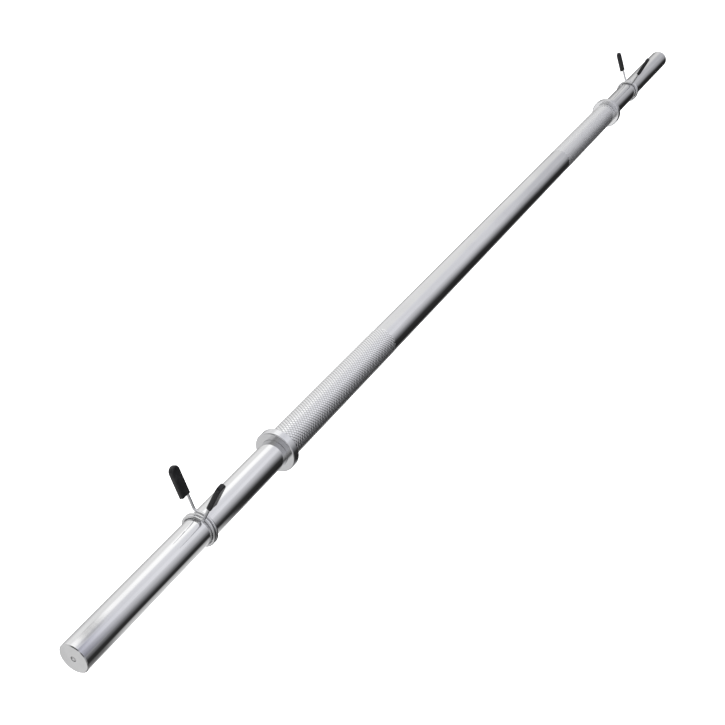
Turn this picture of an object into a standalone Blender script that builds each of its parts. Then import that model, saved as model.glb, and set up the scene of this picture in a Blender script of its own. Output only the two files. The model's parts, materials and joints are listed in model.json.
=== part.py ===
# Straight chrome barbell with a spring clip on each sleeve.
# Metres, +Z up. The bar lies along X with its middle at the origin, and the clips' handles point up.
import math

import bpy
import bmesh
import numpy as np
from mathutils import Matrix, Vector

# The bar
BAR_LENGTH = 1.400
SLEEVE_DIAMETER = 0.0250
SHOULDER_STEP = 0.00175  # by which the shaft stands above the sleeves, all round
SLEEVE_LENGTH = 0.2565  # from the end of the bar to the outer face of the collar
SLEEVE_END_CHAMFER = 0.0008
SHOULDER_CHAMFER = 0.0004

# The grip bands: the crests of the knurl stand a little above the smooth shaft
KNURL_LENGTH = 0.1895
KNURL_START = 0.0012  # plain strip between the shoulder and the first teeth
KNURL_RISE = 0.00018
KNURL_RUNOUT = 0.0006

# The collars, pressed on against the shoulders of the shaft
COLLAR_DIAMETER = 0.0385
COLLAR_WIDTH = 0.0080
COLLAR_EDGE_RADIUS = 0.0010
COLLAR_BORE_CHAMFER = 0.0004

# The centre hole that the lathe leaves in each end of the bar
CENTRE_MOUTH_DIAMETER = 0.0043
CENTRE_PILOT_DIAMETER = 0.0020
CENTRE_PILOT_DEPTH = 0.0028  # past the cone
CENTRE_CONE_ANGLE = math.radians(60.0)

# The spring clips
LEFT_CLIP_FROM_END = 0.1478  # from that end of the bar to the middle of the clip, as in the photo
RIGHT_CLIP_FROM_END = 0.1620
WIRE_DIAMETER = 0.0025
TURN_GAP = 0.0005  # between neighbouring turns of the coil
WHOLE_TURNS = 2
ARM_SPREAD = math.radians(45.6)  # between the two arms at rest
ARM_BEND_RADIUS = 0.0050  # where the wire leaves the coil
BARE_ARM_LENGTH = 0.0159  # from the outside of the coil to the open end of a grip
GRIP_LENGTH = 0.0268
GRIP_RIM_WALL = 0.0003  # rubber outside the hollow for the wire, at the rim
GRIP_FACE_WALL = 0.0006  # and under the flat faces
GRIP_EDGE_RADIUS = 0.0011
HAIRPIN_TAIL_COVER = 0.0030  # rubber below the cut end of the wire

# Clearances
SEAT_GAP = 0.0003  # between pieces that touch

# Facets
BAR_STEPS = 64
COLLAR_STEPS = 64
EDGE_STEPS = 3
COIL_POINTS_PER_TURN = 32
WIRE_STEPS = 2  # extra points on each quarter of the wire's round
BEND_POINTS = 7
HAIRPIN_POINTS = 9
GRIP_TIP_POINTS = 12
GRIP_CORNER_POINTS = 3
GRIP_EDGE_STEPS = 1

# What follows from the sizes above
SLEEVE_RADIUS = SLEEVE_DIAMETER / 2
SHAFT_RADIUS = SLEEVE_RADIUS + SHOULDER_STEP
SHOULDER_PLACE = BAR_LENGTH / 2 - SLEEVE_LENGTH - COLLAR_WIDTH - SEAT_GAP
COIL_RADIUS = SLEEVE_RADIUS + SEAT_GAP + WIRE_DIAMETER / 2
COIL_PITCH = WIRE_DIAMETER + TURN_GAP
ARM_ANGLE = math.pi / 2 + ARM_SPREAD / 2  # of the outer arm, from +Y towards +Z
BEND_ANGLE = math.asin(ARM_BEND_RADIUS / (COIL_RADIUS + ARM_BEND_RADIUS))
COIL_START_ANGLE = ARM_ANGLE - BEND_ANGLE
COIL_ANGLE = 2 * math.pi * WHOLE_TURNS + ARM_SPREAD - 2 * BEND_ANGLE
COIL_ADVANCE = COIL_PITCH * COIL_ANGLE / (2 * math.pi)
LEG_OFFSET = COIL_ADVANCE / 2  # each leg rises straight from the end of the coil into its grip
GRIP_WIDTH = 2 * LEG_OFFSET + WIRE_DIAMETER + 2 * (GRIP_RIM_WALL + SEAT_GAP)
GRIP_THICKNESS = WIRE_DIAMETER + 2 * (GRIP_FACE_WALL + SEAT_GAP)
GRIP_BASE_RADIUS = COIL_RADIUS + WIRE_DIAMETER / 2 + BARE_ARM_LENGTH
GRIP_TIP_RADIUS = GRIP_BASE_RADIUS + GRIP_LENGTH


def clear_scene():
    for thing in list(bpy.data.objects):
        bpy.data.objects.remove(thing, do_unlink=True)


def new_collection(name):
    collection = bpy.data.collections.new(name)
    bpy.context.scene.collection.children.link(collection)
    return collection


def material(name, colour, roughness, metallic):
    made = bpy.data.materials.new(name)
    made.use_nodes = True
    shader = made.node_tree.nodes["Principled BSDF"]
    shader.inputs["Base Color"].default_value = (*colour, 1.0)
    shader.inputs["Roughness"].default_value = roughness
    shader.inputs["Metallic"].default_value = metallic
    made.diffuse_color = (*colour, 1.0)
    made.roughness = roughness
    made.metallic = metallic
    return made


def place(obj, collection, finish):
    collection.objects.link(obj)
    obj.data.materials.append(finish)
    return obj


def shade_round(mesh, sharp_degrees=35.0):
    mesh.shade_smooth()
    mesh.set_sharp_from_angle(angle=math.radians(sharp_degrees))


def turned(name, profile, steps, closed, finish):
    """Spins (radius, height) points about the piece's own Z, then lays that axis along the bar."""
    mesh = bpy.data.meshes.new(name)
    points = [(radius, 0.0, height) for radius, height in profile]
    edges = [(i, i + 1) for i in range(len(points) - 1)]
    if closed:
        edges.append((len(points) - 1, 0))
    mesh.from_pydata(points, edges, [])
    obj = bpy.data.objects.new(name, mesh)
    place(obj, barbell, finish)
    screw = obj.modifiers.new("spin", "SCREW")
    screw.axis = "Z"
    screw.angle = 2 * math.pi
    screw.steps = steps
    screw.render_steps = steps
    screw.use_merge_vertices = True
    screw.merge_threshold = 0.00001
    screw.use_smooth_shade = True
    obj.rotation_euler = (0.0, math.pi / 2, 0.0)
    return obj


def rounded_edge(radius, height, size, upper):
    """Points of a quarter round on the outer edge of a turned disc, from its top or to its bottom face."""
    middle = height - size if upper else height + size
    first = 0.0 if upper else math.pi / 2
    points = []
    for i in range(EDGE_STEPS + 1):
        angle = first + (math.pi / 2) * i / EDGE_STEPS
        across = math.sin(angle)
        along = math.cos(angle)
        points.append((radius - size + size * across, middle + size * along))
    return points


def centre_hole(face):
    """Profile of a lathe's centre hole, from the axis at its bottom up to its mouth in the end face."""
    mouth = CENTRE_MOUTH_DIAMETER / 2
    pilot = CENTRE_PILOT_DIAMETER / 2
    cone = (mouth - pilot) / math.tan(CENTRE_CONE_ANGLE / 2)
    floor = face - cone - CENTRE_PILOT_DEPTH
    return [(0.0, floor), (pilot, floor), (pilot, face - cone), (mouth, face)]


# The bar is one length of steel. It is drawn as a shaft and two sleeves, parted under the collars,
# where the shaft steps down to the sleeves.
def make_shaft():
    crest = SHAFT_RADIUS + KNURL_RISE
    band_start = SHOULDER_PLACE - KNURL_START
    band_end = SHOULDER_PLACE - KNURL_LENGTH
    half = [
        (0.0, SHOULDER_PLACE),
        (SHAFT_RADIUS - SHOULDER_CHAMFER, SHOULDER_PLACE),
        (SHAFT_RADIUS, SHOULDER_PLACE - SHOULDER_CHAMFER),
        (SHAFT_RADIUS, band_start),
        (crest, band_start - KNURL_RUNOUT),
        (crest, band_end + KNURL_RUNOUT),
        (SHAFT_RADIUS, band_end),
    ]
    other_half = [(radius, -height) for radius, height in reversed(half)]
    return turned("shaft", half + other_half, BAR_STEPS, False, chrome)


def make_sleeve(side, sign):
    end = BAR_LENGTH / 2
    root = SHOULDER_PLACE + SEAT_GAP
    profile = centre_hole(end) + [
        (SLEEVE_RADIUS - SLEEVE_END_CHAMFER, end),
        (SLEEVE_RADIUS, end - SLEEVE_END_CHAMFER),
        (SLEEVE_RADIUS, root),
        (0.0, root),
    ]
    sleeve = turned(side + "_sleeve", profile, BAR_STEPS, False, chrome)
    sleeve.rotation_euler.y *= sign
    return sleeve


def make_collar(side, sign):
    top = COLLAR_WIDTH / 2
    outer = COLLAR_DIAMETER / 2
    bore = SLEEVE_RADIUS + SEAT_GAP
    mouth = bore + COLLAR_BORE_CHAMFER
    profile = [(mouth, top)]
    profile += rounded_edge(outer, top, COLLAR_EDGE_RADIUS, True)
    profile += rounded_edge(outer, -top, COLLAR_EDGE_RADIUS, False)
    profile += [
        (mouth, -top),
        (bore, -top + COLLAR_BORE_CHAMFER),
        (bore, top - COLLAR_BORE_CHAMFER),
    ]
    collar = turned(side + "_collar", profile, COLLAR_STEPS, True, chrome)
    collar.location.x = sign * (SHOULDER_PLACE + SEAT_GAP + COLLAR_WIDTH / 2)
    return collar


# The clip's wire, in the clip's own frame: X along the bar, the V's bisector up along Z.
# The outer arm stands at the coil's end on -X and leans to -Y. From it the wire runs over the top
# towards +Y, so that pressing the arms together unwinds the coil and frees the sleeve.
def radial(angle):
    return Vector((0.0, math.cos(angle), math.sin(angle)))


def coil_points():
    """The turns, a seat gap short of the arms at both ends."""
    short = SEAT_GAP / COIL_RADIUS
    swept = COIL_ANGLE - 2 * short
    count = round(COIL_POINTS_PER_TURN * swept / (2 * math.pi))
    points = []
    for i in range(count + 1):
        turned_by = short + swept * i / count
        along = Vector((-LEG_OFFSET + COIL_ADVANCE * turned_by / COIL_ANGLE, 0.0, 0.0))
        points.append(along + COIL_RADIUS * radial(COIL_START_ANGLE - turned_by))
    return points


def least_gap(points):
    """Least clear distance between turns, from each point to every stretch half a turn or more on."""
    line = np.array([tuple(point) for point in points])
    half_turn = COIL_POINTS_PER_TURN // 2
    least = math.inf
    for i in range(len(line) - half_turn - 1):
        starts = line[i + half_turn : -1]
        runs = line[i + half_turn + 1 :] - starts
        share = ((line[i] - starts) * runs).sum(axis=1) / (runs * runs).sum(axis=1)
        nearest = starts + np.clip(share, 0.0, 1.0)[:, None] * runs
        least = min(least, float(np.linalg.norm(line[i] - nearest, axis=1).min()))
    return least - WIRE_DIAMETER


def bend_points():
    """From the coil's end round to the foot of the outer arm's straight leg."""
    outward = radial(ARM_ANGLE)
    sideways = radial(ARM_ANGLE - math.pi / 2)
    reach = math.sqrt((COIL_RADIUS + ARM_BEND_RADIUS) ** 2 - ARM_BEND_RADIUS**2)
    middle = outward * reach + sideways * ARM_BEND_RADIUS + Vector((-LEG_OFFSET, 0.0, 0.0))
    first = COIL_START_ANGLE + math.pi
    sweep = math.pi / 2 - BEND_ANGLE
    points = []
    for i in range(BEND_POINTS + 1):
        points.append(middle + ARM_BEND_RADIUS * radial(first - sweep * i / BEND_POINTS))
    return points


def hairpin_points():
    """Inside the outer grip: up round the hairpin and down to the wire's cut end."""
    outward = radial(ARM_ANGLE)
    middle = GRIP_TIP_RADIUS - GRIP_WIDTH / 2
    points = []
    for i in range(HAIRPIN_POINTS + 1):
        angle = math.pi * i / HAIRPIN_POINTS
        across = Vector((-LEG_OFFSET * math.cos(angle), 0.0, 0.0))
        points.append(across + outward * (middle + LEG_OFFSET * math.sin(angle)))
    cut_end = outward * (GRIP_BASE_RADIUS + HAIRPIN_TAIL_COVER)
    points.append(Vector((LEG_OFFSET, 0.0, 0.0)) + cut_end)
    return points


def hollow_points():
    """The wire's path inside the outer grip, from below the open end to a gap past the cut end."""
    outward = radial(ARM_ANGLE)
    mouth = Vector((-LEG_OFFSET, 0.0, 0.0)) + outward * (GRIP_BASE_RADIUS - WIRE_DIAMETER)
    points = [mouth] + hairpin_points()
    points[-1] -= outward * SEAT_GAP
    return points


def wire_object(name, points, radius, collection, finish):
    """A round wire along the points, with closed ends."""
    curve = bpy.data.curves.new(name, "CURVE")
    curve.dimensions = "3D"
    curve.bevel_depth = radius
    curve.bevel_resolution = WIRE_STEPS
    curve.use_fill_caps = True
    spline = curve.splines.new("POLY")
    spline.points.add(len(points) - 1)
    for slot, point in zip(spline.points, points):
        slot.co = (*point, 1.0)
    return place(bpy.data.objects.new(name, curve), collection, finish)


def as_mesh(curve_object, collection, finish):
    """The curve's evaluated mesh with its caps welded, in place of the curve."""
    bpy.context.view_layer.update()
    graph = bpy.context.evaluated_depsgraph_get()
    mesh = bpy.data.meshes.new_from_object(curve_object.evaluated_get(graph))
    work = bmesh.new()
    work.from_mesh(mesh)
    bmesh.ops.remove_doubles(work, verts=work.verts, dist=0.000001)
    bmesh.ops.recalc_face_normals(work, faces=work.faces)
    work.to_mesh(mesh)
    work.free()
    name = curve_object.name
    matrix = curve_object.matrix_world.copy()
    bpy.data.objects.remove(curve_object, do_unlink=True)
    obj = bpy.data.objects.new(name, mesh)
    obj.matrix_world = matrix
    mesh.materials.clear()
    return place(obj, collection, finish)


def grip_outline():
    """(across, outward) points of a tongue: a square base with small corners and a round free end."""
    half = GRIP_WIDTH / 2
    middle = GRIP_TIP_RADIUS - half
    corner = []
    for i in range(GRIP_CORNER_POINTS + 1):
        angle = (math.pi / 2) * i / GRIP_CORNER_POINTS
        across = half - GRIP_EDGE_RADIUS * (1 - math.sin(angle))
        corner.append((across, GRIP_BASE_RADIUS + GRIP_EDGE_RADIUS * (1 - math.cos(angle))))
    free_end = []
    for i in range(GRIP_TIP_POINTS + 1):
        angle = math.pi * i / GRIP_TIP_POINTS
        free_end.append((half * math.cos(angle), middle + half * math.sin(angle)))
    other_corner = [(-across, outward) for across, outward in reversed(corner)]
    return corner + free_end + other_corner


def grip_blank(name, finish):
    """The outer grip before its hollow: a flat outline with thickness and rounded edges."""
    curve = bpy.data.curves.new(name, "CURVE")
    curve.dimensions = "2D"
    curve.fill_mode = "BOTH"
    curve.extrude = GRIP_THICKNESS / 2 - GRIP_EDGE_RADIUS
    curve.bevel_depth = GRIP_EDGE_RADIUS
    curve.bevel_resolution = GRIP_EDGE_STEPS
    curve.offset = -GRIP_EDGE_RADIUS
    outline = grip_outline()
    spline = curve.splines.new("POLY")
    spline.points.add(len(outline) - 1)
    for slot, (across, outward) in zip(spline.points, outline):
        slot.co = (across, outward, 0.0, 1.0)
    spline.use_cyclic_u = True
    obj = place(bpy.data.objects.new(name, curve), barbell, finish)
    obj.rotation_euler.x = ARM_ANGLE
    blank = as_mesh(obj, barbell, finish)
    blank.data.transform(blank.matrix_world)
    blank.matrix_world = Matrix.Identity(4)
    return blank


def cut(body, cutter):
    hole = body.modifiers.new("hollow", "BOOLEAN")
    hole.operation = "DIFFERENCE"
    hole.solver = "EXACT"
    hole.object = cutter
    cutter.hide_render = True
    cutter.display_type = "WIRE"


def make_handle(name, swing):
    """An arm, its grip and the cutter of the grip's hollow, swung from the outer arm's place."""
    path = [swing @ point for point in bend_points() + hairpin_points()]
    arm = wire_object(name + "_arm", path, WIRE_DIAMETER / 2, barbell, spring_steel)
    grip = grip_blank(name + "_grip", rubber)
    grip.data.transform(swing)
    path = [swing @ point for point in hollow_points()]
    bore = WIRE_DIAMETER / 2 + SEAT_GAP
    hollow = wire_object(name + "_hollow", path, bore, cutters, rubber)
    hollow = as_mesh(hollow, cutters, rubber)
    cut(grip, hollow)
    shade_round(grip.data)
    return [arm, grip, hollow]


def make_clip(side, sign, from_end):
    """A clip on its own empty, which stands on the bar's axis in the middle of the coil."""
    name = side + "_clip"
    axis = bpy.data.objects.new(name + "_axis", None)
    axis.empty_display_size = COIL_RADIUS
    barbell.objects.link(axis)
    axis.location.x = sign * (BAR_LENGTH / 2 - from_end)
    axis.rotation_euler.z = 0.0 if sign < 0 else math.pi
    turns = coil_points()
    pieces = [wire_object(name + "_coil", turns, WIRE_DIAMETER / 2, barbell, spring_steel)]
    pieces += make_handle(name + "_outer", Matrix.Identity(4))
    pieces += make_handle(name + "_inner", Matrix.Rotation(math.pi, 4, "Z"))
    for piece in pieces:
        piece.parent = axis
    return turns


clear_scene()
barbell = new_collection("barbell")
cutters = new_collection("cutters")
chrome = material("chrome", (0.76, 0.76, 0.78), 0.10, 1.0)
spring_steel = material("bright_spring_wire", (0.72, 0.72, 0.74), 0.18, 1.0)
rubber = material("black_dipped_rubber", (0.018, 0.018, 0.019), 0.55, 0.0)

make_shaft()
for side, sign, clip_from_end in (("left", -1, LEFT_CLIP_FROM_END), ("right", 1, RIGHT_CLIP_FROM_END)):
    make_sleeve(side, sign)
    make_collar(side, sign)
    turns = make_clip(side, sign, clip_from_end)
bpy.context.view_layer.update()
print(f"coil: {COIL_ANGLE / (2 * math.pi):.3f} turns, least gap {least_gap(turns) * 1000:.3f} mm")
print(f"grip: {GRIP_WIDTH * 1000:.2f} x {GRIP_THICKNESS * 1000:.2f} x {GRIP_LENGTH * 1000:.1f} mm")
print(f"coil outside: {2 * (COIL_RADIUS + WIRE_DIAMETER / 2) * 1000:.2f} mm")
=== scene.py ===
# %% [markdown]
# # Dressing a chrome barbell
# The CAD model of this barbell is already packed: it says where every piece is and how it moves. A CAD
# solid is made of few flat faces, so this file builds each piece again with round edges, real knurling and
# a finish of its own, in the same place and in metres. The first step clears Blender's startup scene, loads
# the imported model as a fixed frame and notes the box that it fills.

import json
import math

import bmesh
import bpy
from mathutils import Matrix, Vector

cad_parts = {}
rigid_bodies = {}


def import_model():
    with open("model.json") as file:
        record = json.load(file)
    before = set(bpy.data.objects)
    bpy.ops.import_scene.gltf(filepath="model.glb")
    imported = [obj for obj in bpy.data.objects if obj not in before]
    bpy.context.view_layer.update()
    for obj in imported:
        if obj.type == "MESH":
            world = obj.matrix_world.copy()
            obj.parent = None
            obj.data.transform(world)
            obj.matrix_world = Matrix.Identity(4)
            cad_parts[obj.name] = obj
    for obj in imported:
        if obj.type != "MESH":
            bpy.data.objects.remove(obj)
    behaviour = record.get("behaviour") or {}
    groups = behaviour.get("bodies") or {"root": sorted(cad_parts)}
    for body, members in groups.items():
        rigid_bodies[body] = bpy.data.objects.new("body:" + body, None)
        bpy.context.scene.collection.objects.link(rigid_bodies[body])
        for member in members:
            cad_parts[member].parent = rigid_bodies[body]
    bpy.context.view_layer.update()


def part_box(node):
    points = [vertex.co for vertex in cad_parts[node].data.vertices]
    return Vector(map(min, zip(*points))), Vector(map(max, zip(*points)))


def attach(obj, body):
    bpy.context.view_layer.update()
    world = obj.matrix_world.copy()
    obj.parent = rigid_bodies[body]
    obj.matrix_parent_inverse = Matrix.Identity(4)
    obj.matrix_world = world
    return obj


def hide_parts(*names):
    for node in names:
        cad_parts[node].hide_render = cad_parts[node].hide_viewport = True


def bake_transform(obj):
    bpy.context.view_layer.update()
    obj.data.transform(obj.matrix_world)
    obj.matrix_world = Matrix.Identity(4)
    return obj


for thing in list(bpy.data.objects):
    bpy.data.objects.remove(thing, do_unlink=True)

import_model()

# %% [markdown]
# Sizes come next. Whatever the CAD model can say is asked from it: the ends of the bar, the faces of the
# collars, the middle of each clip. Only what a box can't tell, such as the thickness of the wire or the
# radius of a bend, is written here as a number. The bar lies along X with its middle at the origin.

# %% Sizes and places
bar_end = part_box("right_sleeve")[1].x
sleeve_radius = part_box("right_sleeve")[1].z
collar_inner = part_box("right_collar")[0].x
collar_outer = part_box("right_collar")[1].x
collar_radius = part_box("right_collar")[1].z
knurl_crest_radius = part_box("shaft")[1].z
clip_place = {}
for side in ("left", "right"):
    coil_low, coil_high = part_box(side + "_clip_coil")
    clip_place[side] = (coil_low.x + coil_high.x) / 2

shaft_radius = 0.01425
knurl_near_collar = 0.4340
knurl_near_middle = 0.2457
knurl_root_radius = 0.01419
centre_hole_radius = 0.00215
centre_hole_depth = 0.0040
wire_radius = 0.00125
coil_radius = 0.01405
print(f"bar {2000 * bar_end:.1f} mm, sleeves {2000 * sleeve_radius:.1f} mm thick")
print("clips at", {side: round(1000 * place, 1) for side, place in clip_place.items()}, "mm")

# %% [markdown]
# ## Two small tools for node trees
# Materials, the surroundings and the knurling are all node trees, and long lists of nodes are hard to
# read. So the first tool wraps one output of a node, and lets its sums be written as plain Python:
# `1 - mask * 0.5` adds the Math nodes by itself.

# %% A value in a tree
class Value:
    """One output of a node tree. Sums written with it add Math nodes."""

    def __init__(self, recipe, socket):
        self.recipe = recipe
        self.socket = socket

    def __add__(self, other):
        return self.recipe.math("ADD", self, other)

    def __sub__(self, other):
        return self.recipe.math("SUBTRACT", self, other)

    def __rsub__(self, other):
        return self.recipe.math("SUBTRACT", other, self)

    def __mul__(self, other):
        return self.recipe.math("MULTIPLY", self, other)

    def __truediv__(self, other):
        return self.recipe.math("DIVIDE", self, other)

    def __rtruediv__(self, other):
        return self.recipe.math("DIVIDE", other, self)

    __radd__ = __add__
    __rmul__ = __mul__

    def between(self, low, high):
        """0 below low, 1 above high, and a smooth rise between them."""
        settings = {"interpolation_type": "SMOOTHSTEP"}
        return self.recipe.node("ShaderNodeMapRange", settings, {"Value": self, 1: low, 2: high})

    def window(self, low, high, soft):
        """1 from low to high, and 0 beyond a soft edge on either side."""
        return self.between(low - soft, low) * (1.0 - self.between(high, high + soft))


print("values can be added, subtracted, multiplied and divided")

# %% [markdown]
# The second tool holds a tree and adds any node to it from its type, its settings and the values or links
# of its sockets. A few short methods name what several trees need, such as the distance from the bar's
# axis, or noise that is drawn out along the bar.

# %% A tree that is being built
class Recipe:
    """A node tree, and the one method that adds a node to it."""

    def __init__(self, tree):
        self.tree = tree

    def socket(self, sockets, name):
        if isinstance(name, int):
            return sockets[name]
        return next(s for s in sockets if name in (s.identifier, s.name))

    def feed(self, socket, value):
        if isinstance(value, Value):
            self.tree.links.new(value.socket, socket)
        elif isinstance(value, list):
            for one in value:
                self.feed(socket, one)
        else:
            socket.default_value = value

    def node(self, kind, settings=None, values=None, out=0):
        """Adds a node, sets it up, feeds its sockets, and gives back one of its outputs."""
        made = self.tree.nodes.new(kind)
        for name, setting in (settings or {}).items():
            if name == "stops":
                self.set_stops(made.color_ramp, setting)
            else:
                setattr(made, name, setting)
        for name, value in (values or {}).items():
            self.feed(self.socket(made.inputs, name), value)
        return Value(self, self.socket(made.outputs, out))

    def set_stops(self, ramp, stops):
        while len(ramp.elements) < len(stops):
            ramp.elements.new(0.5)
        for element, (place, grey) in zip(ramp.elements, stops):
            element.position = place
            element.color = (grey, grey, grey, 1.0)

    def math(self, operation, *values):
        return self.node("ShaderNodeMath", {"operation": operation}, dict(enumerate(values)))

    def part(self, vector, axis):
        """One coordinate of a place or a direction: X, Y or Z."""
        return self.node("ShaderNodeSeparateXYZ", None, {0: vector}, axis)

    def mixed(self, share, first, second):
        """A colour between two colours."""
        values = {"Factor_Float": share, "A_Color": first, "B_Color": second}
        return self.node("ShaderNodeMix", {"data_type": "RGBA"}, values, "Result_Color")

    def stretched(self, place, factors):
        """A place whose axes are each scaled, so that a pattern on it is drawn out along one of them."""
        return self.node("ShaderNodeVectorMath", {"operation": "MULTIPLY"}, {0: place, 1: factors})

    def tinted(self, grey, tint):
        """A grey value as a colour: the tint, made lighter or darker."""
        return self.node("ShaderNodeVectorMath", {"operation": "SCALE"}, {0: tint, "Scale": grey})

    def from_axis(self, place):
        """How far a place stands from the bar's axis."""
        across = self.stretched(place, (0.0, 1.0, 1.0))
        return self.node("ShaderNodeVectorMath", {"operation": "LENGTH"}, {0: across}, "Value")

    def noise(self, place, scale, detail):
        return self.node("ShaderNodeTexNoise", None, {"Vector": place, "Scale": scale, "Detail": detail})

    def drawn_noise(self, place, along, across, detail):
        """Noise with so many waves a metre along the bar, and so many across it."""
        return self.noise(self.stretched(place, (along, across, across)), 1.0, detail)

    def bump(self, height, strength, depth=0.00002):
        """A height that tilts the light on a surface and leaves its mesh as it is."""
        values = {"Strength": strength, "Distance": depth, "Height": height}
        return self.node("ShaderNodeBump", None, values)


print("node tools ready")

# %% [markdown]
# ## Chrome
# Chrome has hardly any colour of its own. What makes it read as chrome is how sharply it mirrors the room,
# and the small faults in that mirror: a cloudy film where the polish varies, rings that the polishing belt
# leaves round the bar, long shallow waves from straightening, faint streaks along the steel, and on the
# sleeves the lengthwise rubs of plates sliding on and off. The rings are noise squeezed along X, and the
# rest is noise drawn out along X. None of them would show in the bar's outline, so they go to a Bump node and
# to the roughness, and not into the mesh. Near the axis of each end face the same finish dulls the bore of
# the centre hole, and a near-black ring is painted on its rim as painted shade at the edge of the hole.

# %% Chrome of the bar, with polishing rings and plate rubs
def new_finish(name, colour, roughness, metallic):
    """A material, its recipe, its shader's sockets and the place on the piece."""
    material = bpy.data.materials.new(name)
    material.use_nodes = True
    material.diffuse_color = (*colour, 1.0)
    recipe = Recipe(material.node_tree)
    shader = material.node_tree.nodes["Principled BSDF"]
    shader.inputs["Base Color"].default_value = (*colour, 1.0)
    shader.inputs["Roughness"].default_value = roughness
    shader.inputs["Metallic"].default_value = metallic
    place = recipe.node("ShaderNodeTexCoord", None, None, "Object")
    return material, recipe, shader.inputs, place


def bar_chrome():
    material, recipe, shader, place = new_finish("polished_chrome", (0.80, 0.80, 0.81), 0.08, 1.0)
    from_middle = recipe.math("ABSOLUTE", recipe.part(place, "X"))
    from_axis = recipe.from_axis(place)
    cloud = recipe.drawn_noise(place, along=9.0, across=40.0, detail=4.0).between(0.38, 0.66)
    rings = recipe.drawn_noise(place, along=2200.0, across=30.0, detail=3.0)
    rubs = recipe.drawn_noise(place, along=18.0, across=1600.0, detail=3.0)
    waves = recipe.drawn_noise(place, along=8.0, across=60.0, detail=1.0)
    streaks = recipe.drawn_noise(place, along=7.0, across=400.0, detail=3.0)
    on_sleeve = from_middle.between(collar_inner, collar_outer)
    rubbed = rubs.between(0.60, 0.74) * on_sleeve
    at_end = from_middle.between(bar_end - centre_hole_depth, bar_end - 0.9 * centre_hole_depth)
    rim_shade = from_axis.window(centre_hole_radius - 0.00027, centre_hole_radius + 0.00007, 0.00010)
    bore = 1.0 - from_axis.between(centre_hole_radius - 0.00025, centre_hole_radius - 0.00015)
    colour = recipe.mixed(cloud, (0.86, 0.86, 0.865, 1.0), (0.79, 0.79, 0.80, 1.0))
    # Painted shade: a near-black ring on the rim of each centre hole.
    colour = recipe.mixed(rim_shade * at_end, colour, (0.05, 0.05, 0.05, 1.0))
    recipe.feed(shader["Base Color"], colour)
    roughness = 0.03 + 0.05 * cloud + 0.04 * rings + 0.06 * rubbed + 0.25 * (at_end * bore)
    recipe.feed(shader["Roughness"], roughness)
    height = 30.0 * waves + 2.0 * streaks + 0.02 * rings - 0.03 * rubbed
    recipe.feed(shader["Normal"], recipe.bump(height, 1.0))
    return material


chrome = bar_chrome()
print("finish:", chrome.name)

# %% [markdown]
# The knurling is plated like the rest, but its many small faces were pressed and not polished. The crests
# are painted the brightest and the grooves darker, as painted shade down in the grooves. How far a point
# stands from the bar's axis says which of the two it is, so the finish reads that distance.

# %% Chrome of the knurling and of the collars
def knurl_chrome():
    material, recipe, shader, place = new_finish("knurled_chrome", (0.78, 0.78, 0.80), 0.2, 1.0)
    crest = recipe.from_axis(place).between(knurl_root_radius, knurl_crest_radius)
    grain = recipe.noise(place, 2600.0, 3.0)
    # Painted shade: darker colour down in the grooves, lighter on the crests.
    colour = recipe.mixed(crest, (0.55, 0.55, 0.56, 1.0), (0.94, 0.94, 0.94, 1.0))
    recipe.feed(shader["Base Color"], colour)
    recipe.feed(shader["Roughness"], 0.14 - 0.06 * crest + 0.06 * grain)
    recipe.feed(shader["Normal"], recipe.bump(grain, 0.25))
    return material


def collar_chrome():
    """As the bar, but turned on its faces: fine rings about the axis, and a soft film."""
    material, recipe, shader, place = new_finish("turned_chrome", (0.80, 0.80, 0.81), 0.08, 1.0)
    values = {0: recipe.part(place, "X") * 1500.0, 1: recipe.from_axis(place) * 3000.0}
    turning = recipe.node("ShaderNodeCombineXYZ", None, values)
    rings = recipe.noise(turning, 1.0, 3.0)
    film = recipe.noise(place, 70.0, 4.0)
    colour = recipe.mixed(film, (0.84, 0.84, 0.845, 1.0), (0.75, 0.755, 0.775, 1.0))
    recipe.feed(shader["Base Color"], colour)
    recipe.feed(shader["Roughness"], 0.05 + 0.08 * film + 0.05 * rings)
    recipe.feed(shader["Normal"], recipe.bump(rings, 0.06))
    return material


knurled = knurl_chrome()
turned_chrome = collar_chrome()
print("finishes:", knurled.name, turned_chrome.name)

# %% [markdown]
# ## Turned pieces
# The bar and its collars are lathe work, so each is a profile spun about the bar's axis. A corner in the
# profile that stays sharp catches no light, and real ones never are: each corner is given a small radius
# first. A guard point just beyond each arc keeps the shading of the long faces flat, because chrome shows
# the least tilt.

# %% Profiles with soft corners
guard_share = 0.6


def softened(corners, steps=5):
    """(x, radius) points of a profile in which each corner (x, radius, rounding) becomes a small arc."""
    points = [Vector(corners[0][:2])]
    for before, corner, after in zip(corners, corners[1:], corners[2:]):
        here, rounding = Vector(corner[:2]), corner[2]
        if rounding == 0.0:
            points.append(here)
            continue
        back = (Vector(before[:2]) - here).normalized()
        on = (Vector(after[:2]) - here).normalized()
        half = back.angle(on) / 2
        middle = here + (back + on).normalized() * rounding / math.sin(half)
        reach = rounding / math.tan(half)
        guard = reach + guard_share * rounding
        first = (here + back * reach - middle).normalized()
        last = (here + on * reach - middle).normalized()
        points.append(here + back * guard)
        for i in range(steps + 1):
            points.append(middle + first.slerp(last, i / steps) * rounding)
        points.append(here + on * guard)
    points.append(Vector(corners[-1][:2]))
    return points


sample = [(0.0, 0.0, 0.0), (0.0, 0.01, 0.001), (0.01, 0.01, 0.0)]
print(f"a soft corner has {len(softened(sample)) - 2} points")

# %% [markdown]
# The lathe spins a profile round X. Points on the axis meet in one vertex, which closes the poles, and a
# profile that closes on itself makes a ring. What a spin or a sweep leaves behind, such as doubled seams and
# faces that point inwards, is put right by one helper that every piece made from a bmesh goes through.

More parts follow.
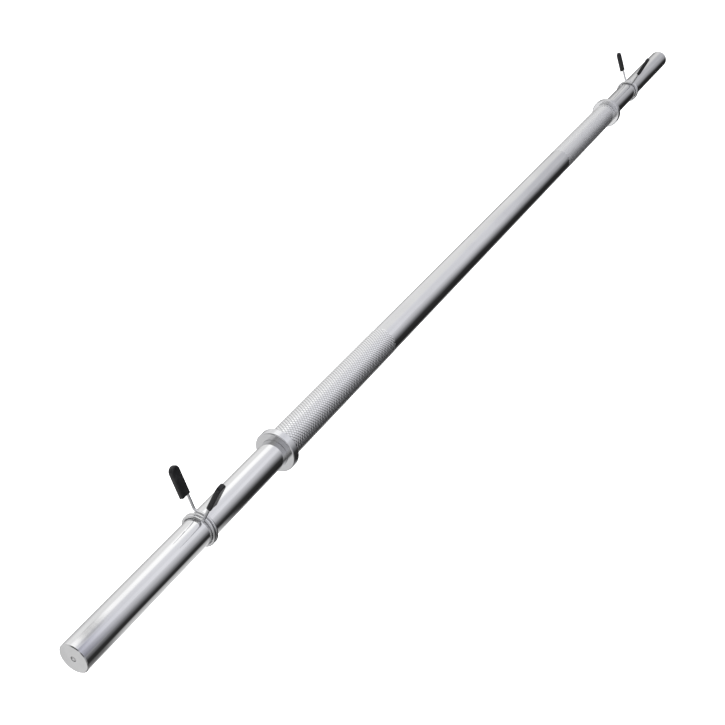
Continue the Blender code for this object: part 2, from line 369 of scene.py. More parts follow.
# %% A lathe
def clean_mesh(work, mesh, sharp_degrees, weld=0.000001):
    """Welds a bmesh, turns its faces outwards and writes it to a mesh that is shaded round."""
    bmesh.ops.remove_doubles(work, verts=work.verts, dist=weld)
    bmesh.ops.recalc_face_normals(work, faces=work.faces)
    work.to_mesh(mesh)
    work.free()
    mesh.shade_smooth()
    mesh.set_sharp_from_angle(angle=math.radians(sharp_degrees))
    return mesh


def lathe(name, profile, steps, closed=False):
    """A mesh spun about X from a profile that starts and ends on the axis, or closes on itself."""
    work = bmesh.new()
    corners = [work.verts.new((x, 0.0, radius)) for x, radius in profile]
    edges = [work.edges.new(pair) for pair in zip(corners, corners[1:])]
    if closed:
        edges.append(work.edges.new((corners[-1], corners[0])))
    bmesh.ops.spin(
        work,
        geom=corners + edges,
        cent=(0.0, 0.0, 0.0),
        axis=(1.0, 0.0, 0.0),
        angle=2 * math.pi,
        steps=steps,
        use_merge=True,
    )
    return clean_mesh(work, bpy.data.meshes.new(name), 32.0)


def piece(name, mesh, finish):
    """A finished piece: an object at the origin whose place is in its mesh."""
    mesh.materials.clear()
    mesh.materials.append(finish)
    made = bpy.data.objects.new(name, mesh)
    bpy.context.scene.collection.objects.link(made)
    return made


print("lathe ready")

# %% [markdown]
# ## The bar
# The bar is one length of round steel: two 25 mm sleeves and a thicker shaft between them. Each end was
# held on a lathe's centre while it was turned, which leaves a small cone with a pilot hole in the middle of
# the end face. Under the knurling the profile dips a little, so that the teeth stand in the bar instead of
# floating on it, and it rises back over half a tooth, as the run-out of the knurling wheel does. The
# shoulder beside a collar stops a hair short of it, so that no two faces lie in one plane.

# %% The bar, turned in one piece
hair = 0.0001
fine_edge = 0.00008
knurl_bed_radius = knurl_root_radius - 0.00007
knurl_run_out = 0.0012
end_chamfer = 0.0006
cone_half_angle = math.radians(60.0)
pilot_radius = 0.0003
pilot_depth = 0.0028


def half_of_bar():
    """Corners from the middle of the bar out to its end, as (x, radius, rounding)."""
    cone_floor = bar_end - (centre_hole_radius - pilot_radius) / math.tan(cone_half_angle)
    pilot_floor = cone_floor - pilot_depth
    return [
        (knurl_near_middle - hair, shaft_radius, 0.0001),
        (knurl_near_middle + knurl_run_out, knurl_bed_radius, 0.0),
        (knurl_near_collar - knurl_run_out, knurl_bed_radius, 0.0),
        (knurl_near_collar + hair, shaft_radius, 0.0001),
        (collar_inner - hair, shaft_radius, 0.0002),
        (collar_inner - hair, sleeve_radius, 0.0),
        (bar_end - end_chamfer, sleeve_radius, 0.00015),
        (bar_end, sleeve_radius - end_chamfer, fine_edge),
        (bar_end, centre_hole_radius, fine_edge),
        (cone_floor, pilot_radius, 0.0),
        (pilot_floor, pilot_radius, 0.0),
        (pilot_floor, 0.0, 0.0),
    ]


def make_bar():
    right = half_of_bar()
    left = [(-x, radius, rounding) for x, radius, rounding in reversed(right)]
    bar = piece("bar_steel", lathe("bar_steel", softened(left + right), steps=192), chrome)
    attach(bar, "bar")
    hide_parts("shaft", "left_sleeve", "right_sleeve")
    return bar


bar = make_bar()
print(f"{bar.name}: {len(bar.data.polygons)} faces")

# %% [markdown]
# ## Shapes that follow a rule
# The knurling and the coils of the clips follow rules, so Geometry Nodes make them. Both trees begin and end
# alike, and one helper takes care of that. Every size is a named input, which `given` finds, and the tree
# ends in Realize Instances and Set Material, because an export drops instances. A tree does nothing until it
# is put on an object as a modifier. That object is an empty mesh here. Its inputs are set by the identifiers
# of their sockets before it is evaluated for the first time, and what it then shows is kept as a plain mesh.

# %% A tree for a shape, and what it grows
socket_kinds = {int: "NodeSocketInt", float: "NodeSocketFloat", type(None): "NodeSocketMaterial"}


def shape_tree(name, sizes, build):
    """A Geometry Nodes tree with named inputs, whose shape comes from build(recipe, given)."""
    tree = bpy.data.node_groups.new(name, "GeometryNodeTree")
    tree.interface.new_socket("Geometry", in_out="OUTPUT", socket_type="NodeSocketGeometry")
    for title, value in {**sizes, "Finish": None}.items():
        kind = socket_kinds[type(value)]
        socket = tree.interface.new_socket(title, in_out="INPUT", socket_type=kind)
        socket.default_value = value
    recipe = Recipe(tree)
    start = tree.nodes.new("NodeGroupInput")

    def given(title):
        return Value(recipe, start.outputs[title])

    shape = recipe.node("GeometryNodeRealizeInstances", None, {"Geometry": build(recipe, given)})
    values = {"Geometry": shape, "Material": given("Finish")}
    shape = recipe.node("GeometryNodeSetMaterial", None, values)
    tree.links.new(shape.socket, tree.nodes.new("NodeGroupOutput").inputs["Geometry"])
    return tree


def plain_mesh(name, holder):
    """The mesh that an object shows once it is evaluated. The object itself is removed."""
    bpy.context.scene.collection.objects.link(holder)
    bpy.context.view_layer.update()
    graph = bpy.context.evaluated_depsgraph_get()
    mesh = bpy.data.meshes.new_from_object(holder.evaluated_get(graph))
    bpy.data.objects.remove(holder, do_unlink=True)
    mesh.name = name
    return mesh


def grown(name, tree, values):
    """What a shape tree makes from a value for each of its inputs."""
    holder = bpy.data.objects.new(name, bpy.data.meshes.new(name + "_start"))
    modifier = holder.modifiers.new("grown", "NODES")
    modifier.node_group = tree
    for socket in tree.interface.items_tree:
        if socket.in_out == "INPUT":
            modifier[socket.identifier] = values[socket.name]
    return plain_mesh(name, holder)


print("shape trees ready")

# %% [markdown]
# ## The knurling
# A knurling wheel presses two sets of slanting grooves into the shaft, and what is left between them is a
# field of small pyramids with flat tops. The tree needs one tooth, and the places where teeth stand. The
# tooth is a diamond whose face is extruded and shrunk three times, for the groove, the flank and the crest.
# The places are two grids, the second half a tooth further on.

# %% One tooth, and where the teeth stand
def tooth(recipe, given):
    """One tooth: a diamond of four corners, with a groove, a flank and a crest."""
    circle = recipe.node("GeometryNodeMeshCircle", {"fill_type": "NGON"}, {"Vertices": 4, "Radius": 1.0})
    size = {0: given("Column Pitch") * 0.5, 1: given("Row Pitch") * 0.5, 2: 1.0}
    scale = recipe.node("ShaderNodeCombineXYZ", None, size)
    shape = recipe.node("GeometryNodeTransform", None, {"Geometry": circle, "Scale": scale})
    rises = (("Groove Share", 0.05), ("Flank Share", 0.78), ("Crest Share", 0.17))
    share_before = None
    for name, rise in rises:
        lift = recipe.node("ShaderNodeCombineXYZ", None, {2: given("Tooth Height") * rise})
        values = {"Mesh": shape, "Offset": lift, "Offset Scale": 1.0, "Individual": False}
        shape = recipe.node("GeometryNodeExtrudeMesh", {"mode": "FACES"}, values)
        top = Value(recipe, shape.socket.node.outputs["Top"])
        shrink = given(name) / share_before if share_before else given(name)
        settings = {"domain": "FACE", "scale_mode": "UNIFORM"}
        values = {"Geometry": shape, "Selection": top, "Scale": shrink}
        shape = recipe.node("GeometryNodeScaleElements", settings, values)
        share_before = given(name)
    return shape


def tooth_places(recipe, given):
    """Points for the teeth on a flat sheet: two grids, the second half a tooth on in both directions."""
    length = (given("Columns") - 1.0) * given("Column Pitch")
    height = (given("Rows") - 1.0) * given("Row Pitch")
    values = {
        "Size X": length,
        "Size Y": height,
        "Vertices X": given("Columns"),
        "Vertices Y": given("Rows"),
    }
    whole = recipe.node("GeometryNodeMeshGrid", None, values)
    values["Size X"] = length - given("Column Pitch")
    values["Vertices X"] = given("Columns") - 1.0
    between = recipe.node("GeometryNodeMeshGrid", None, values)
    shift = recipe.node("ShaderNodeCombineXYZ", None, {1: given("Row Pitch") * 0.5})
    between = recipe.node("GeometryNodeTransform", None, {"Geometry": between, "Translation": shift})
    return recipe.node("GeometryNodeJoinGeometry", None, {"Geometry": [whole, between]})


print("tooth and places ready")

# %% [markdown]
# The teeth make a flat sheet at first, because a flat pattern is easy to lay out. Its length runs along the
# shaft and its width is the shaft's girth, so wrapping it is one formula: the width becomes an angle, and the
# height of a tooth is added to the radius. At both ends of the band the open edge gets a short skirt that
# goes down into the steel, so that no gap can be seen from the side.

# %% Round the shaft, with a skirt at both ends
skirt_share = 0.02


def wrapped(recipe, given, sheet):
    """The flat sheet laid round the shaft, its height standing outwards."""
    position = recipe.node("GeometryNodeInputPosition")
    x, y, z = (recipe.part(position, axis) for axis in "XYZ")
    turn = y * (-2 * math.pi) / (given("Row Pitch") * given("Rows"))
    radius = given("Root Radius") + z
    values = {
        0: given("Middle") + x,
        1: radius * recipe.math("COSINE", turn),
        2: radius * recipe.math("SINE", turn),
    }
    round_shaft = recipe.node("ShaderNodeCombineXYZ", None, values)
    return recipe.node("GeometryNodeSetPosition", None, {"Geometry": sheet, "Position": round_shaft})


def skirted(recipe, sheet):
    """The open edges at both ends, drawn down into the steel."""
    faces = recipe.node("GeometryNodeInputMeshEdgeNeighbors")
    settings = {"data_type": "INT", "operation": "EQUAL"}
    open_edge = recipe.node("FunctionNodeCompare", settings, {"A_INT": faces, "B_INT": 1})
    position = recipe.node("GeometryNodeInputPosition")
    inwards = recipe.stretched(position, (0.0, -skirt_share, -skirt_share))
    values = {"Mesh": sheet, "Selection": open_edge, "Offset": inwards, "Offset Scale": 1.0}
    return recipe.node("GeometryNodeExtrudeMesh", {"mode": "EDGES"}, values)


print("wrap and skirt ready")

# %% [markdown]
# Now the tree itself. It sets the teeth, makes real geometry of the instances, welds the sheet, wraps it,
# welds the seam and adds the skirts. Only the middle of the band differs between the two bands, so one tree
# serves both. The teeth are fitted to the band: as many whole columns as come nearest to 3.1 mm each, and 22
# rows round the shaft. The three shares say how wide a tooth still is above its groove, its flank and its
# crest.

# %% The tree that knurls
sheet_weld = 0.000002
wanted_pitch = 0.00309
tooth_rows = 22
knurl_band = knurl_near_collar - knurl_near_middle
tooth_columns = round(knurl_band / wanted_pitch)
knurl_sizes = {
    "Middle": 0.0,
    "Columns": tooth_columns,
    "Rows": tooth_rows,
    "Column Pitch": knurl_band / tooth_columns,
    "Row Pitch": 2 * math.pi * knurl_root_radius / tooth_rows,
    "Root Radius": knurl_root_radius,
    "Tooth Height": knurl_crest_radius - knurl_root_radius,
    "Groove Share": 0.96,
    "Flank Share": 0.74,
    "Crest Share": 0.68,
}


def knurl_sheet(recipe, given):
    """The teeth on their places, as one sheet round the shaft."""
    values = {"Points": tooth_places(recipe, given), "Instance": tooth(recipe, given)}
    teeth = recipe.node("GeometryNodeInstanceOnPoints", None, values)
    sheet = recipe.node("GeometryNodeRealizeInstances", None, {"Geometry": teeth})
    sheet = recipe.node("GeometryNodeMergeByDistance", None, {"Geometry": sheet, "Distance": sheet_weld})
    sheet = wrapped(recipe, given, sheet)
    sheet = recipe.node("GeometryNodeMergeByDistance", None, {"Geometry": sheet, "Distance": sheet_weld})
    sheet = skirted(recipe, sheet)
    return recipe.node("GeometryNodeSetShadeSmooth", None, {"Geometry": sheet, "Shade Smooth": False})


knurling = shape_tree("knurling", knurl_sizes, knurl_sheet)
print(f"knurling tree: {len(knurling.nodes)} nodes, {len(knurl_sizes)} sizes")

# %% [markdown]
# The tree grows once for each grip band. The bands turn with the bar, so they ride on its body. They replace
# no CAD piece, because the shaft under them is already replaced by the turned bar.

# %% Both grip bands
def make_knurl(side, sign):
    middle = sign * (knurl_near_collar + knurl_near_middle) / 2
    name = side + "_knurl"
    mesh = grown(name, knurling, {**knurl_sizes, "Middle": middle, "Finish": knurled})
    made = piece(name, mesh, knurled)
    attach(made, "bar")
    teeth = (2 * tooth_columns - 1) * tooth_rows
    print(f"{name}: {teeth} teeth, {len(made.data.polygons)} faces")


for side, sign in (("left", -1), ("right", 1)):
    make_knurl(side, sign)

# %% [markdown]
# ## The collars
# Each collar is a plain ring pressed against the shoulder of the shaft, and it keeps the plates from
# sliding inwards. It is a closed profile spun about the axis, with a millimetre of rounding on the outer
# edges and a fine chamfer at the bore. The profile starts and ends on the inner face, which stays flat there.

# %% The two collars
collar_bore = sleeve_radius + 0.00004
collar_edge = 0.0010
collar_mouth = 0.00035


def make_collar(side, sign):
    seam_high = (collar_bore + collar_radius) / 2
    seam_low = seam_high - 0.0005
    corners = [
        (collar_inner, seam_high, 0.0),
        (collar_inner, collar_radius, collar_edge),
        (collar_outer, collar_radius, collar_edge),
        (collar_outer, collar_bore + collar_mouth, fine_edge),
        (collar_outer - collar_mouth, collar_bore, 0.0),
        (collar_inner + collar_mouth, collar_bore, 0.0),
        (collar_inner, collar_bore + collar_mouth, fine_edge),
        (collar_inner, seam_low, 0.0),
    ]
    profile = [(sign * x, radius) for x, radius in softened(corners, steps=8)]
    name = side + "_stop_collar"
    made = piece(name, lathe(name, profile, steps=160, closed=True), turned_chrome)
    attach(made, "bar")
    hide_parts(side + "_collar")
    return made


collars = [make_collar("left", -1), make_collar("right", 1)]
print(f"collars: {len(collars[0].data.polygons)} faces each")

# %% [markdown]
# ## The spring clips
# A clip is one piece of spring wire: two turns round the sleeve, a tight bend up into each arm, and a
# hairpin at the top of each arm inside its grip. Squeezing the grips unwinds the coil, which opens it and
# frees the sleeve. The wire bends when it does that, and it is built in three lengths: an arm for each
# handle, and the coil. The finish is bright plated wire, a little duller than the bar, with a thin uneven
# film and a very fine grain.

# %% Finish of the spring wire
def wire_finish():
    material, recipe, shader, place = new_finish("bright_wire", (0.72, 0.72, 0.73), 0.18, 1.0)
    film = recipe.noise(place, 260.0, 3.0)
    grain = recipe.noise(place, 3200.0, 2.0)
    colour = recipe.mixed(film, (0.88, 0.88, 0.88, 1.0), (0.74, 0.745, 0.76, 1.0))
    recipe.feed(shader["Base Color"], colour)
    recipe.feed(shader["Roughness"], 0.10 + 0.14 * film)
    recipe.feed(shader["Normal"], recipe.bump(grain, 0.12))
    return material


bright_wire = wire_finish()
print("finish:", bright_wire.name)

# %% [markdown]
# The wire's path is worked out in the clip's own frame: X along the bar, Z up between the two arms, and
# the middle of the coil at the origin. Angles go round from +Y towards +Z. The outer arm stands at the
# coil's end on -X and leans to -Y, and the inner arm is the outer one turned half round about Z.

# %% The path of the wire
arm_spread = math.radians(45.6)
arm_angle = math.pi / 2 + arm_spread / 2
bend_radius = 0.0050
bend_angle = math.asin(bend_radius / (coil_radius + bend_radius))
coil_pitch = 0.0030
coil_start = arm_angle - bend_angle
coil_sweep = 4 * math.pi + arm_spread - 2 * bend_angle
coil_advance = coil_pitch * coil_sweep / (2 * math.pi)
leg_offset = coil_advance / 2

bare_arm = 0.0159
grip_length = 0.02665
vinyl_beside_wire = 0.0012
vinyl_over_wire = 0.0018
grip_width = 2 * leg_offset + 2 * wire_radius + vinyl_beside_wire
grip_thickness = 2 * wire_radius + vinyl_over_wire
grip_base = coil_radius + wire_radius + bare_arm
grip_tip = grip_base + grip_length
cut_end = grip_base + 0.0030


def radial(angle):
    return Vector((0.0, math.cos(angle), math.sin(angle)))


def bend_path(count=18):
    """From the end of the coil round into the outer arm."""
    reach = math.sqrt((coil_radius + bend_radius) ** 2 - bend_radius**2)
    middle = radial(arm_angle) * reach + radial(arm_angle - math.pi / 2) * bend_radius
    middle.x = -leg_offset
    sweep = math.pi / 2 - bend_angle
    turns = [coil_start + math.pi - sweep * i / count for i in range(count + 1)]
    return [middle + bend_radius * radial(turn) for turn in turns]


def hairpin_path(count=28):
    """Up the outer arm, round the hairpin and down to the cut end of the wire."""
    outward = radial(arm_angle)
    middle = grip_tip - grip_width / 2
    path = []
    for i in range(count + 1):
        angle = math.pi * i / count
        across = Vector((-leg_offset * math.cos(angle), 0.0, 0.0))
        path.append(across + outward * (middle + leg_offset * math.sin(angle)))
    path.append(Vector((leg_offset, 0.0, 0.0)) + outward * cut_end)
    return path


print(f"coil: {math.degrees(coil_sweep) / 360:.3f} turns over {1000 * coil_advance:.2f} mm")

# %% [markdown]
# The coil is a helix. A straight line is cut into many points, each point is moved onto the helix by its
# share of the way along, and a small circle is swept along the result.

# %% The tree that coils
coil_sizes = {
    "Points": 200,
    "Start Angle": coil_start,
    "Sweep": coil_sweep,
    "Coil Radius": coil_radius,
    "Advance": coil_advance,
    "Wire Radius": wire_radius,
}


def coil_wire(recipe, given):
    """A line laid along the helix, and a circle swept along it."""
    values = {"Start": (0.0, 0.0, 0.0), "End": (1.0, 0.0, 0.0)}
    line = recipe.node("GeometryNodeCurvePrimitiveLine", None, values)
    line = recipe.node("GeometryNodeResampleCurve", None, {"Curve": line, "Count": given("Points")})
    along = recipe.part(recipe.node("GeometryNodeInputPosition"), "X")
    angle = given("Start Angle") - given("Sweep") * along
    values = {
        0: given("Advance") * (along - 0.5),
        1: given("Coil Radius") * recipe.math("COSINE", angle),
        2: given("Coil Radius") * recipe.math("SINE", angle),
    }
    helix = recipe.node("ShaderNodeCombineXYZ", None, values)
    path = recipe.node("GeometryNodeSetPosition", None, {"Geometry": line, "Position": helix})
    values = {"Resolution": 20, "Radius": given("Wire Radius")}
    ring = recipe.node("GeometryNodeCurvePrimitiveCircle", None, values)
    values = {"Curve": path, "Profile Curve": ring, "Fill Caps": True}
    return recipe.node("GeometryNodeCurveToMesh", None, values)


spring_coil = shape_tree("spring_coil", coil_sizes, coil_wire)
print(f"coil tree: {len(spring_coil.nodes)} nodes, {len(coil_sizes)} sizes")

# %% [markdown]
# The arms follow no rule but their path of points, so an ordinary curve with a round bevel is the shortest
# way to them. Both kinds of wire have caps that have to be welded on before they are shaded.

# %% A wire along a path
def clean_wire(mesh):
    """Welds the caps of a wire and shades it round."""
    work = bmesh.new()
    work.from_mesh(mesh)
    return clean_mesh(work, mesh, 40.0)


def swept(name, path):
    """A round wire along a path, as a mesh."""
    curve = bpy.data.curves.new(name + "_path", "CURVE")
    curve.dimensions = "3D"
    curve.bevel_depth = wire_radius
    curve.bevel_resolution = 8
    curve.use_fill_caps = True
    spline = curve.splines.new("POLY")
    spline.points.add(len(path) - 1)
    for slot, point in zip(spline.points, path):
        slot.co = (*point, 1.0)
    return clean_wire(plain_mesh(name, bpy.data.objects.new(name + "_path", curve)))


arm_path = bend_path() + hairpin_path()
arm_length = sum((after - before).length for before, after in zip(arm_path, arm_path[1:]))
print(f"each arm takes {1000 * arm_length:.0f} mm of wire")

# %% [markdown]
# ## The grips
# Each hairpin is dipped in black vinyl. Dipped vinyl is neither quite matt nor even: it has a faint orange
# peel from drying, a finer grain on it, and dust that greys it in places. The peel and the grain go to a
# Bump node, and the dust is a second, hardly lighter black where a wide noise is high.

# %% Finish of the vinyl
def vinyl_finish():
    material, recipe, shader, place = new_finish("dipped_vinyl", (0.012, 0.012, 0.013), 0.5, 0.0)
    patches = recipe.noise(place, 190.0, 4.0)
    peel = recipe.noise(place, 1300.0, 2.0)
    fine = recipe.noise(place, 5200.0, 2.0)
    dust = patches.between(0.52, 0.72)
    colour = recipe.mixed(dust, (0.006, 0.006, 0.0065, 1.0), (0.013, 0.013, 0.0135, 1.0))
    recipe.feed(shader["Base Color"], colour)
    recipe.feed(shader["Roughness"], 0.26 + 0.12 * patches + 0.05 * fine)
    recipe.feed(shader["Normal"], recipe.bump(peel * 0.7 + fine * 0.3, 0.22, depth=0.00006))
    return material


vinyl = vinyl_finish()
print("finish:", vinyl.name)

# %% [markdown]
# The dip leaves a flat tongue with a round free end, thickest over the two legs of the wire and a little
# hollow between them. Two outlines say all of that. One is the rim, seen from the front: up one side, round
# the tip and down the other side. The other is the section, seen from the end: from the middle of one face
# over the rounded rim to the middle of the other face. The rim's round edge takes the same width
# everywhere, so the section is written as shares of the way in from the rim.

# %% The two outlines of a grip
base_edge = 0.0004
rim_edge = 0.0012
face_hollow = 0.00025


def rim_stations(side_steps=8, tip_steps=28):
    """Points up one side of a grip, round its tip and down the other side, as (across, outward)."""
    half = grip_width / 2
    round_middle = grip_tip - half
    straight = round_middle - grip_base - base_edge
    side = [(half, grip_base + base_edge + straight * i / side_steps) for i in range(side_steps)]
    tip = []
    for i in range(tip_steps + 1):
        angle = math.pi * i / tip_steps
        tip.append((half * math.cos(angle), round_middle + half * math.sin(angle)))
    return side + tip + [(-across, outward) for across, outward in reversed(side)]


def grip_section(face_steps=7, edge_steps=5):
    """(share of the way in, height) from the middle line of one face over the rim to the other face."""
    half = grip_thickness / 2
    inmost = rim_edge / (grip_width / 2)
    face = []
    for i in range(face_steps):
        share = 1 - i / face_steps
        dip = face_hollow * (3 * share**2 - 2 * share**3)
        face.append((inmost + (1 - inmost) * share, half - dip))
    for i in range(edge_steps + 1):
        angle = (math.pi / 2) * (1 - i / edge_steps)
        face.append((inmost * (1 - math.cos(angle)), half - rim_edge + rim_edge * math.sin(angle)))
    return face + [(share, -height) for share, height in reversed(face)]


print(f"a grip has {len(rim_stations())} ribs of {len(grip_section())} points")

# %% [markdown]
# The tongue is made of ribs, one at each point of the rim, and quads between neighbours. Round the tip the
# ribs lean towards one middle, as the slices of a lemon do. The flat lower end is a stack of rings: over a
# small edge, across the end and up into the shallow pocket that the wire leaves by. Each ring is told by how
# far in from the outside it lies, and how far up.

# %% The tongue of a grip
pocket = ((0.00052, 0.0), (0.00060, 0.0001), (0.00060, 0.0025))


def base_ring(section, wide, thick, outward):
    """One closed ring of (across, height, outward) round the open end, scaled to a width and thickness."""
    right = [(wide * (1 - share), thick * height / (grip_thickness / 2)) for share, height in section]
    left = [(-across, height) for across, height in reversed(right[1:-1])]
    return [(across, height, outward) for across, height in right + left]


def grip_grid(section):
    """The ribs of the tongue, each from the middle of one face over the rim to the middle of the other."""
    round_middle = grip_tip - grip_width / 2
    ribs = []
    for across, outward in rim_stations():
        middle = min(outward, round_middle)
        rib = []
        for share, height in section:
            rib.append((across * (1 - share), height, outward + (middle - outward) * share))
        ribs.append(rib)
    return ribs


def grip_base_rings(section, edge_steps=4):
    """From the rounded lower edge over the flat end and up into the pocket that the wire leaves by."""
    levels = []
    for i in range(edge_steps + 1):
        angle = (math.pi / 2) * i / edge_steps
        levels.append((base_edge * (1 - math.cos(angle)), base_edge * (1 - math.sin(angle))))
    rings = []
    for inset, height in levels + list(pocket):
        wide, thick = grip_width / 2 - inset, grip_thickness / 2 - inset
        rings.append(base_ring(section, wide, thick, grip_base + height))
    return rings


def grip_mesh(name):
    """The outer grip's tongue, standing along the outer arm."""
    outward_way, height_way = radial(arm_angle), radial(arm_angle - math.pi / 2)
    section = grip_section()
    work = bmesh.new()

    def corner(point):
        across, height, outward = point
        return work.verts.new(Vector((across, 0.0, 0.0)) + outward_way * outward + height_way * height)

    ribs = [[corner(point) for point in rib] for rib in grip_grid(section)]
    for one, other in zip(ribs, ribs[1:]):
        for i in range(len(one) - 1):
            work.faces.new((one[i], one[i + 1], other[i + 1], other[i]))
    rings = [[corner(point) for point in ring] for ring in grip_base_rings(section)]
    for one, other in zip(rings, rings[1:]):
        for i in range(len(one)):
            after = (i + 1) % len(one)
            work.faces.new((one[i], one[after], other[after], other[i]))
    work.faces.new(rings[-1])
    return clean_mesh(work, bpy.data.meshes.new(name), 50.0, weld=0.000004)


print(f"grips {1000 * grip_width:.1f} x {1000 * grip_thickness:.1f} mm")

# %% [markdown]
# Both clips are built from the same paths. A half turn about Z makes the inner handle from the outer one,
# and another makes the right clip from the left. The coil is placed once and rides on no handle. The
# wires show in the chrome beside them. The black grips don't, because the real sleeves hardly show them.

# %% The two clips
def make_handle(name, cad_name, body, place):
    arm = swept(name + "_arm_wire", [place @ point for point in arm_path])
    arm = piece(name + "_arm_wire", arm, bright_wire)
    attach(arm, body)
    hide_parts(cad_name + "_arm")
    cover = grip_mesh(name + "_grip_cover")
    cover.transform(place)
    cover = piece(name + "_grip_cover", cover, vinyl)
    cover.visible_glossy = False
    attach(cover, body)
    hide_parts(cad_name + "_grip")
    return [arm, cover]


def make_coil(side, place):
    name = side + "_coil_wire"
    mesh = clean_wire(grown(name, spring_coil, {**coil_sizes, "Finish": bright_wire}))
    mesh.transform(place)
    coil = piece(name, mesh, bright_wire)
    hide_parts(side + "_clip_coil")
    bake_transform(coil)
    return coil


def make_clip(side, sign):
    turn = Matrix.Rotation(0.0 if sign < 0 else math.pi, 4, "Z")
    place = Matrix.Translation((clip_place[side], 0.0, 0.0)) @ turn
    half_turn = Matrix.Rotation(math.pi, 4, "Z")
    made = [make_coil(side, place)]
    for which, swing in (("outer", Matrix.Identity(4)), ("inner", half_turn)):
        body = f"{side}_clip_{which}_handle"
        made += make_handle(f"{side}_{which}", f"{side}_clip_{which}", body, place @ swing)
    return made


for side, sign in (("left", -1), ("right", 1)):
    for made in make_clip(side, sign):
        print(f"{made.name}: {len(made.data.polygons)} faces")

# %% [markdown]
# ## The floor, the room and the light
# Chrome shows the room, so the room is designed first. The bar hangs above a plain pale floor in a white
# studio, and the camera sees plain white behind it. What the chrome sees is told by two numbers: `turn`,
# how far round the bar's axis a direction lies, from the floor (0) over the far wall (0.25), the ceiling
# (0.5) and the near wall (0.75) back to the floor (1), and `x`, how far it points along the bar. Three ramps
# give the grey all the way round, as pairs of a turn and a grey: one for what lies ahead of the camera, one
# for what lies beside it and one for what lies behind it. Each one fades into the next along `x`.

# %% Greys round the bar
ahead_stops = [
    (0.00, 0.25), (0.07, 0.55), (0.10, 0.25), (0.15, 0.30), (0.20, 0.60), (0.28, 0.88), (0.47, 0.85),
    (0.52, 0.79), (0.61, 0.79), (0.69, 0.48), (0.75, 0.18), (0.80, 0.03), (0.94, 0.015), (1.00, 0.25),
]
beside_stops = [
    (0.00, 0.02), (0.08, 0.20), (0.20, 0.60), (0.30, 0.88), (0.50, 0.90), (0.62, 0.85), (0.66, 0.72),
    (0.70, 0.42), (0.74, 0.22), (0.78, 0.04), (1.00, 0.02),
]
behind_stops = [
    (0.00, 0.62), (0.12, 0.68), (0.31, 0.62), (0.37, 0.32), (0.54, 0.44), (0.77, 0.46),
    (0.84, 0.25), (0.90, 0.08), (0.95, 0.30), (1.00, 0.62),
]


def ramp(recipe, turn, stops):
    """The grey that a list of (turn, grey) stops gives for each turn."""
    return recipe.node("ShaderNodeValToRGB", {"stops": stops}, {"Fac": turn}, "Color")


def dimmed(grey, shapes):
    """A grey made darker by shapes, each with the share of the light that it takes."""
    for share, shape in shapes:
        grey = grey * (1.0 - share * shape)
    return grey


def faded(first, second, share):
    """The first grey where the share is 0, and the second where it is 1."""
    return first + (second - first) * share


print("stops of the ramps:", len(ahead_stops), len(beside_stops), len(behind_stops))

# %% [markdown]
# Soft shapes are laid over the ramps: a strip light and a soft box overhead, a blue-grey screen at the near
# end with a dark gap beside it, light that comes back from the floor there, a far end that is dimmer towards
# its edges, and one more soft box at the back, for whoever looks from the other side. A shape is a product
# of two soft windows, one over `turn` and one over `x`. None of this is painted on the steel, so it moves
# over the bar as reflections do when the bar turns.

# %% The room that the chrome mirrors
def grey_ahead(recipe, turn, x, screen):
    strip = turn.window(0.40, 0.44, 0.05) * (1.0 - x.between(0.66, 0.76))
    soft_box = turn.window(0.575, 0.605, 0.03) * (1.0 - x.between(0.74, 0.80))
    notch = turn.window(0.38, 0.50, 0.03) * x.window(0.481, 0.492, 0.006)
    floor_light = turn.between(0.850, 0.915) * (1.0 - x.between(0.585, 0.620))
    floor_light = floor_light * (0.25 + 0.75 * x.between(0.480, 0.505))
    near_floor = (1.0 - turn.between(0.05, 0.09)) * (1.0 - x.between(0.59, 0.62))
    far_ceiling = turn.window(0.50, 0.64, 0.08) * x.between(0.83, 0.88)
    far_corner = (1.0 - turn.between(0.15, 0.40)) * x.between(0.868, 0.897)
    far_edge = (1.0 - turn.between(0.18, 0.26)) * x.between(0.76, 0.86)
    far_half, far_end = x.between(0.76, 0.80), x.between(0.895, 0.91)
    dark = [(0.50, screen), (0.20, far_ceiling), (0.70, far_corner)]
    dark += [(0.30, far_edge), (0.10, far_end), (0.07, far_half)]
    grey = dimmed(ramp(recipe, turn, ahead_stops), dark)
    grey = grey + 0.30 * strip + 0.07 * soft_box + 0.52 * floor_light + 0.40 * near_floor
    return dimmed(grey, [(0.50, notch)])


def grey_behind(recipe, turn, x):
    chamfer_gap = turn.window(0.17, 0.72, 0.04) * x.window(-0.88, -0.74, 0.03)
    back_box = turn.window(0.60, 0.68, 0.07) * x.between(-0.60, -0.48)
    back_end = 1.0 - x.between(-0.91, -0.87)
    grey = dimmed(ramp(recipe, turn, behind_stops), [(0.9, chamfer_gap)])
    return grey + 0.30 * back_end + 0.38 * back_box


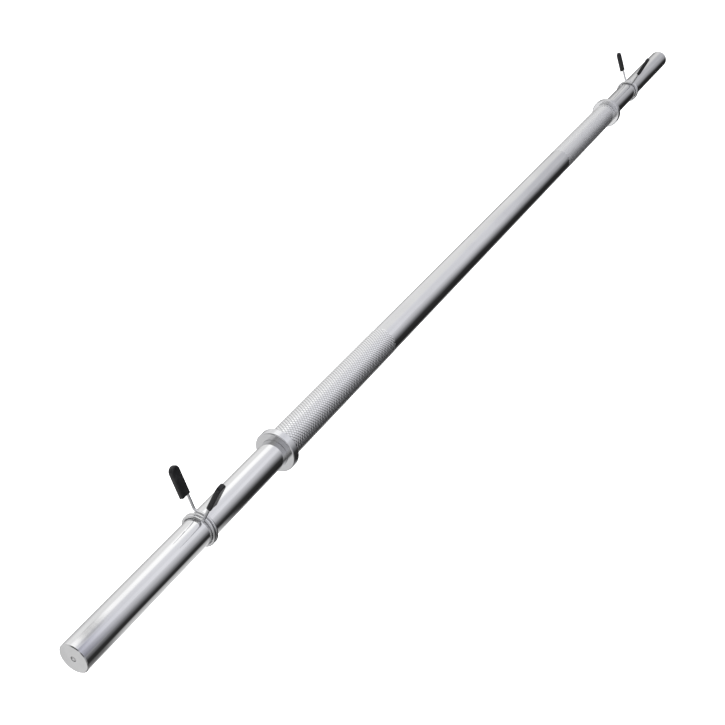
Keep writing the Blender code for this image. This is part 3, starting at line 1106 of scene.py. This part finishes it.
def make_room():
    world = bpy.data.worlds.new("white_studio")
    bpy.context.scene.world = world
    world.use_nodes = True
    world.node_tree.nodes.clear()
    recipe = Recipe(world.node_tree)
    direction = recipe.node("ShaderNodeTexCoord", None, None, "Generated")
    x, y, z = (recipe.part(direction, axis) for axis in "XYZ")
    turn = (recipe.math("ARCTAN2", 0.0 - y, z) + math.pi) / (2 * math.pi)
    screen = turn.window(0.535, 0.70, 0.03) * x.between(0.38, 0.44) * (1.0 - x.between(0.460, 0.510))
    ahead = grey_ahead(recipe, turn, x, screen)
    grey = faded(ramp(recipe, turn, beside_stops), ahead, x.between(0.41, 0.45))
    grey = faded(grey_behind(recipe, turn, x), grey, x.between(-0.42, -0.08))
    white = (1.0, 1.0, 1.0, 1.0)
    tint = recipe.mixed(turn.window(0.50, 0.76, 0.06), white, (0.965, 0.97, 1.02, 1.0))
    room = recipe.mixed(screen * 0.6, recipe.tinted(grey, tint), recipe.tinted(grey, (0.92, 0.93, 1.20)))
    seen = recipe.node("ShaderNodeLightPath", None, None, "Is Camera Ray")
    room = recipe.mixed(seen, room, white)
    light = recipe.node("ShaderNodeBackground", None, {"Color": room, "Strength": 1.0})
    output = world.node_tree.nodes.new("ShaderNodeOutputWorld")
    world.node_tree.links.new(light.socket, output.inputs["Surface"])
    return world


room = make_room()
print(f"room: {len(room.node_tree.nodes)} nodes")

# %% [markdown]
# The floor is a plain pale sheet a metre below the bar, which glows a little so that it stays white at every
# angle. Two soft lamps, one from each side, light what isn't a mirror: the floor and the vinyl. Floor and
# lamps stay out of the chrome, because the room already holds what the chrome should see.

# %% A pale floor and soft lamps
floor_height = -1.0
floor_reach = 30.0
lamp_size = 1.6


def make_floor():
    mesh = bpy.data.meshes.new("floor")
    work = bmesh.new()
    bmesh.ops.create_grid(work, x_segments=4, y_segments=4, size=floor_reach)
    bmesh.ops.translate(work, verts=work.verts, vec=(0.0, 0.0, floor_height))
    work.to_mesh(mesh)
    work.free()
    material, _, shader, _ = new_finish("pale_floor", (0.93, 0.93, 0.93), 0.9, 0.0)
    shader["Emission Color"].default_value = (1.0, 1.0, 1.0, 1.0)
    shader["Emission Strength"].default_value = 0.8
    floor = piece("floor", mesh, material)
    floor.visible_glossy = False
    return floor


def soft_lamp(name, place, power):
    """A square lamp that points at the middle of the bar."""
    lamp = bpy.data.lights.new(name, "AREA")
    lamp.shape = "SQUARE"
    lamp.size = lamp_size
    lamp.energy = power
    made = bpy.data.objects.new(name, lamp)
    made.location = place
    made.rotation_euler = (-Vector(place)).to_track_quat("-Z", "Y").to_euler()
    made.visible_glossy = False
    bpy.context.scene.collection.objects.link(made)
    return made


floor = make_floor()
soft_lamp("key_lamp", (-1.6, -1.8, 2.4), 60.0)
soft_lamp("far_lamp", (1.2, 2.0, 2.0), 40.0)
print(f"{floor.name} {2 * floor_reach:.0f} m wide, lamps {lamp_size} m")

# %% [markdown]
# ## The camera
# The photograph was taken from above the near end, looking down along the bar. A pinhole camera was fitted
# to the outlines of the sleeves, the shaft and the collars, and its place, direction and lens are set here
# as they came out. Colours are shown as they are, without a film look, so that white stays white.

# %% Camera at the photograph's angle
camera_place = (-1.0789, -0.4003, 0.6051)
camera_direction = (0.7372, 0.3729, -0.5635)
camera_roll = math.radians(2.37)
camera_lens = 56.78


def make_camera():
    lens = bpy.data.cameras.new("camera")
    lens.sensor_width = 36.0
    lens.lens = camera_lens
    lens.clip_start = 0.01
    lens.clip_end = 200.0
    camera = bpy.data.objects.new("camera", lens)
    forward = Vector(camera_direction).normalized()
    level = forward.cross(Vector((0.0, 0.0, 1.0))).normalized()
    right = Matrix.Rotation(camera_roll, 3, -forward) @ level
    up = right.cross(forward)
    turn = Matrix((right, up, -forward)).transposed().to_4x4()
    camera.matrix_world = Matrix.Translation(camera_place) @ turn
    bpy.context.scene.collection.objects.link(camera)
    bpy.context.scene.camera = camera
    return camera


camera = make_camera()
bpy.context.scene.view_settings.view_transform = "Standard"
print("camera at", [round(value, 3) for value in camera.location])
